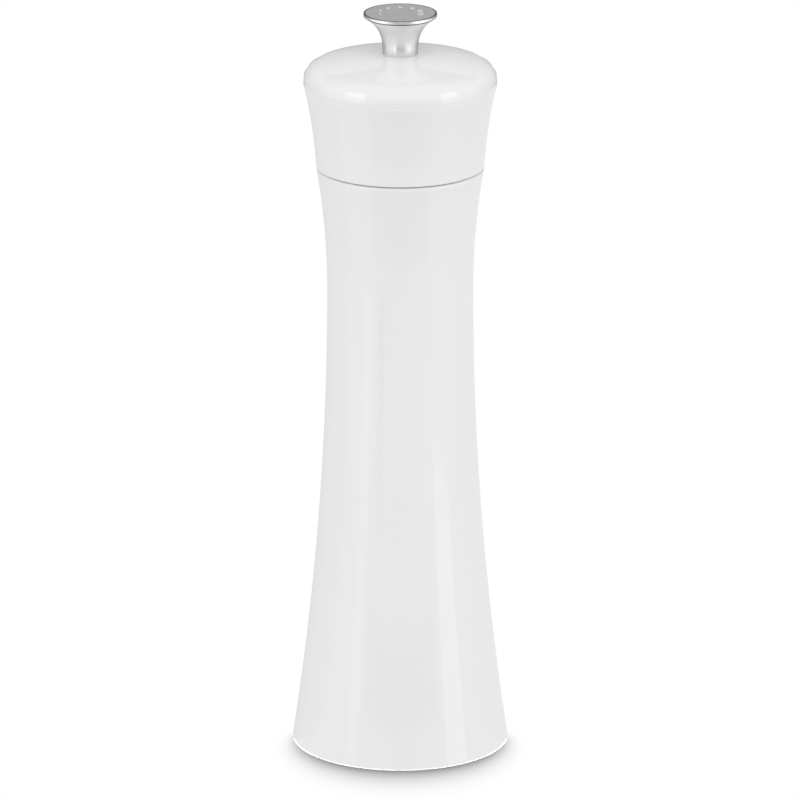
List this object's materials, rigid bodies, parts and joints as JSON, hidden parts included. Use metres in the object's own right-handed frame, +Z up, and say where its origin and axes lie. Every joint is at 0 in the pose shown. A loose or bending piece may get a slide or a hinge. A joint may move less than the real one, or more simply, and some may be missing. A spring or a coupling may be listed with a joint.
{
  "type": "salt mill",
  "caption": "Tall waisted salt mill in glossy white plastic, turned by its domed head, with a metal adjusting knob on top and a ceramic grinder in its base.",
  "frame": {"origin": "centre of the base, on the surface that the mill stands on", "axes": "+Z up along the turning axis, -Y towards the side that the picture shows, +X to that view's right"},
  "size_m": [0.0598, 0.0598, 0.2085],
  "materials": {
    "white_gloss": "glossy moulded white plastic",
    "knob_satin": "satin nickel with a polished rim",
    "disc_satin": "satin nickel with polished dots",
    "brass": "plain brass",
    "steel": "bright steel",
    "screw_steel": "zinc plated steel",
    "ceramic": "unglazed technical ceramic",
    "housing_grey": "fine textured dark grey plastic",
    "funnel_grey": "fine textured grey plastic",
    "glide_grey": "dark grey acetal",
    "plug_white": "fine textured white plastic",
    "acetal": "natural acetal",
    "silicone": "grey silicone"
  },
  "bodies": {
    "body": {"body_shell": "white_gloss", "grinder_housing": "housing_grey", "hopper_funnel": "funnel_grey", "stator": "ceramic", "stator_retainer": "steel", "retainer_screws": "screw_steel", "housing_screws": "screw_steel", "glide_ring": "glide_grey"},
    "drive_bush": {"drive_bush": "acetal", "spring": "steel"},
    "spindle": {"shaft": "steel", "rotor": "ceramic", "rotor_washer": "steel", "rotor_screw": "screw_steel", "spring_washer": "steel"},
    "head": {"head_shell": "white_gloss", "head_plug": "plug_white", "drive_plate": "steel", "drive_plate_screws": "screw_steel", "seat_washer": "acetal", "friction_ring": "silicone"},
    "knob": {"knob": "knob_satin", "knob_disc": "disc_satin", "knob_insert": "brass"}
  },
  "joints": [
    {"name": "mill_turn", "type": "hinge", "parent": "body", "child": "drive_bush", "pos_m": [0, 0, 0.032], "axis": [0, 0, 1], "continuous": true},
    {"name": "grind_setting", "type": "slide", "parent": "drive_bush", "child": "spindle", "axis": [0, 0, 1], "range_m": [-0.00161, 0], "deforming": ["spring"]},
    {"name": "head_lift", "type": "slide", "parent": "drive_bush", "child": "head", "axis": [0, 0, 1], "range_m": [0, 0.06]},
    {"name": "knob_turn", "type": "hinge", "parent": "head", "child": "knob", "pos_m": [0, 0, 0.2], "axis": [0, 0, 1], "range_deg": [0, 720]}
  ],
  "couplings": [
    {"joint": "grind_setting", "follows": "knob_turn", "m_per_rad": -0.00012732}
  ]
}
